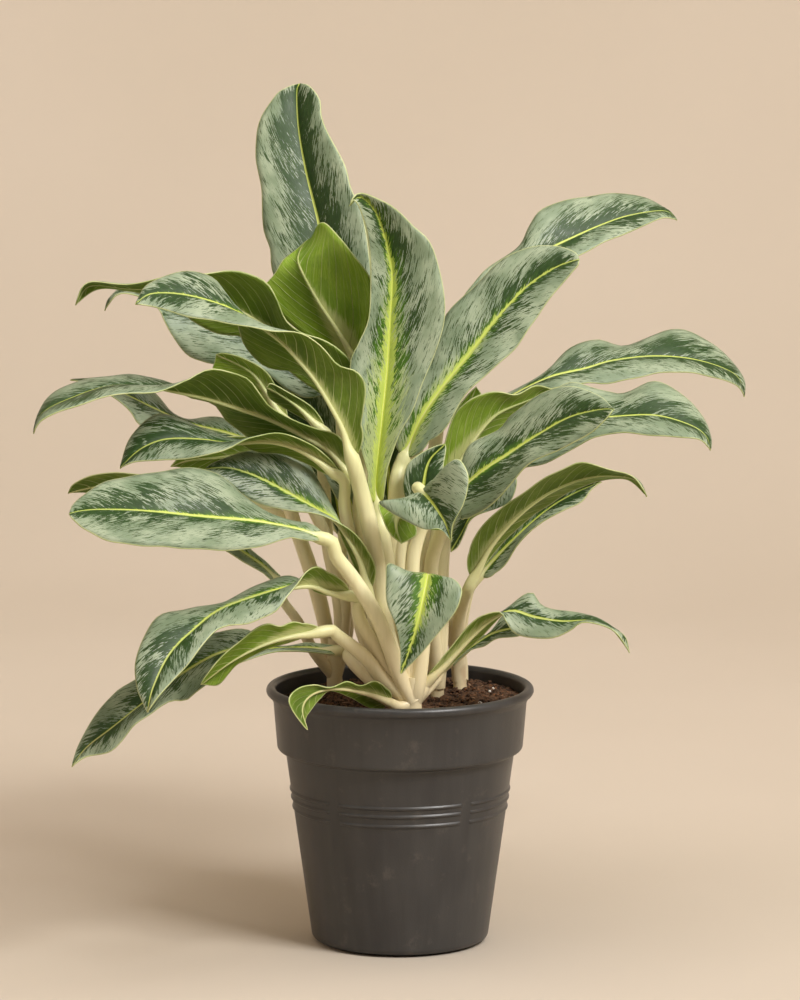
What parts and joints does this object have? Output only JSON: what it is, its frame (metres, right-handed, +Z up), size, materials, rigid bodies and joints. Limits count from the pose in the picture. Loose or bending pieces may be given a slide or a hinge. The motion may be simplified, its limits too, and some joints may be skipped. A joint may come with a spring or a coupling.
{
  "type": "potted chinese evergreen",
  "caption": "Leafy house plant with silver and green patterned leaves on cream stalks, growing in soil in a round dark plastic pot.",
  "frame": {"origin": "middle of the pot's underside, on the flat centre pad", "axes": "+Z up along the pot's axis, -Y towards the front of the plant, +X to the viewer's right"},
  "size_m": [0.5038, 0.4734, 0.603],
  "materials": {
    "leaf": "satin living leaf, silver grey-green with dark green feathering above and olive green below",
    "stem": "smooth fleshy cream leaf stalks and short canes",
    "pot": "satin thin moulded polypropylene, dark anthracite",
    "soil": "loose moist potting soil with white perlite grains"
  },
  "bodies": {
    "root": {"leaf_01": "leaf", "leaf_02": "leaf", "leaf_03": "leaf", "leaf_04": "leaf", "leaf_05": "leaf", "leaf_06": "leaf", "leaf_07": "leaf", "leaf_08": "leaf", "leaf_09": "leaf", "leaf_10": "leaf", "leaf_11": "leaf", "leaf_12": "leaf", "leaf_13": "leaf", "leaf_14": "leaf", "leaf_15": "leaf", "leaf_16": "leaf", "leaf_17": "leaf", "leaf_18": "leaf", "leaf_19": "leaf", "leaf_20": "leaf", "leaf_21": "leaf", "leaf_22": "leaf", "leaf_23": "leaf", "leaf_24": "leaf", "leaf_25": "leaf", "leaf_26": "leaf", "leaf_27": "leaf", "leaf_28": "leaf", "leaf_29": "leaf", "leaf_30": "leaf", "leaf_31": "leaf", "leaf_32": "leaf", "leaf_33": "leaf", "leaf_34": "leaf", "leaf_35": "leaf", "leaf_36": "leaf", "leaf_37": "leaf", "leaf_38": "leaf", "leaf_39": "leaf", "leaf_40": "leaf", "leaf_back_1": "leaf", "leaf_back_2": "leaf", "leaf_back_3": "leaf", "leaf_back_4": "leaf", "leaf_back_5": "leaf", "leaf_back_6": "leaf", "leaf_back_7": "leaf", "pot": "pot", "shoot_1": "stem", "shoot_2": "stem", "shoot_3": "stem", "shoot_4": "stem", "shoot_5": "stem", "shoot_6": "stem", "soil": "soil"}
  },
  "joints": []
}
